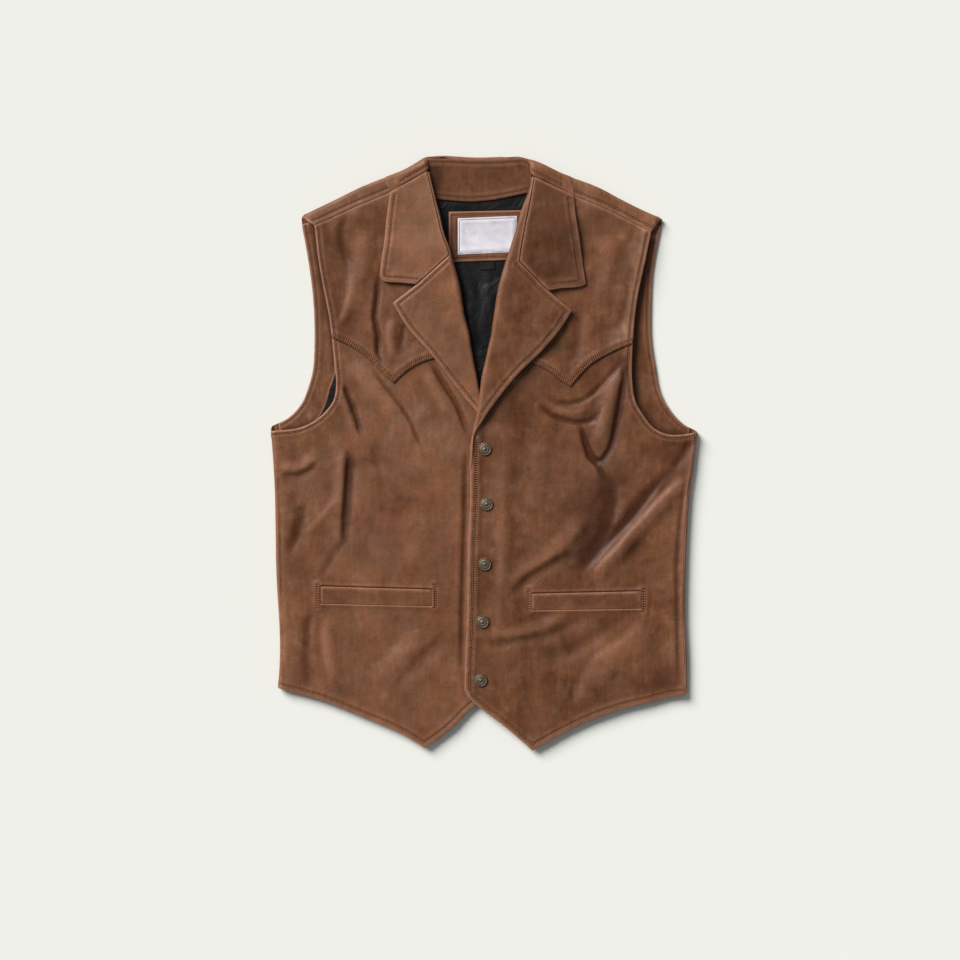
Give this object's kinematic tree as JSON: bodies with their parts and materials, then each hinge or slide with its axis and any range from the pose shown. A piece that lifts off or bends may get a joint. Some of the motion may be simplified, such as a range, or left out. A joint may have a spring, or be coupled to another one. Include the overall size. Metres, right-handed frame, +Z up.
{
  "type": "leather vest",
  "caption": "Leather vest with notched lapels, pointed yokes, welt pockets, a snapped front and a pointed hem, laid flat on its back with the front closed.",
  "frame": {"origin": "centre of the vest's bounding box in plan, on the surface that it lies on", "axes": "+X to the wearer's left, +Y from the hem to the neck, +Z up, out of the fronts"},
  "size_m": [0.5201, 0.723, 0.021],
  "materials": {
    "leather": "waxed brown cowhide, matt with a soft sheen on the folds",
    "lining": "black woven lining, slightly shiny",
    "label": "white woven label, left blank",
    "snap": "antique brass, domed caps"
  },
  "bodies": {
    "root": {"back": "leather", "lining_back": "lining", "neck_band": "leather", "armhole_facing_left": "leather", "armhole_facing_right": "leather", "front_left": "leather", "front_right": "leather", "yoke_left": "leather", "yoke_right": "leather", "lapel_left": "leather", "lapel_right": "leather", "collar_left": "leather", "collar_right": "leather", "collar_back": "leather", "welt_left": "leather", "welt_right": "leather", "label_patch": "leather", "label": "label", "size_tab": "lining", "snap_1": "snap", "snap_2": "snap", "snap_3": "snap", "snap_4": "snap", "snap_5": "snap"}
  },
  "joints": []
}
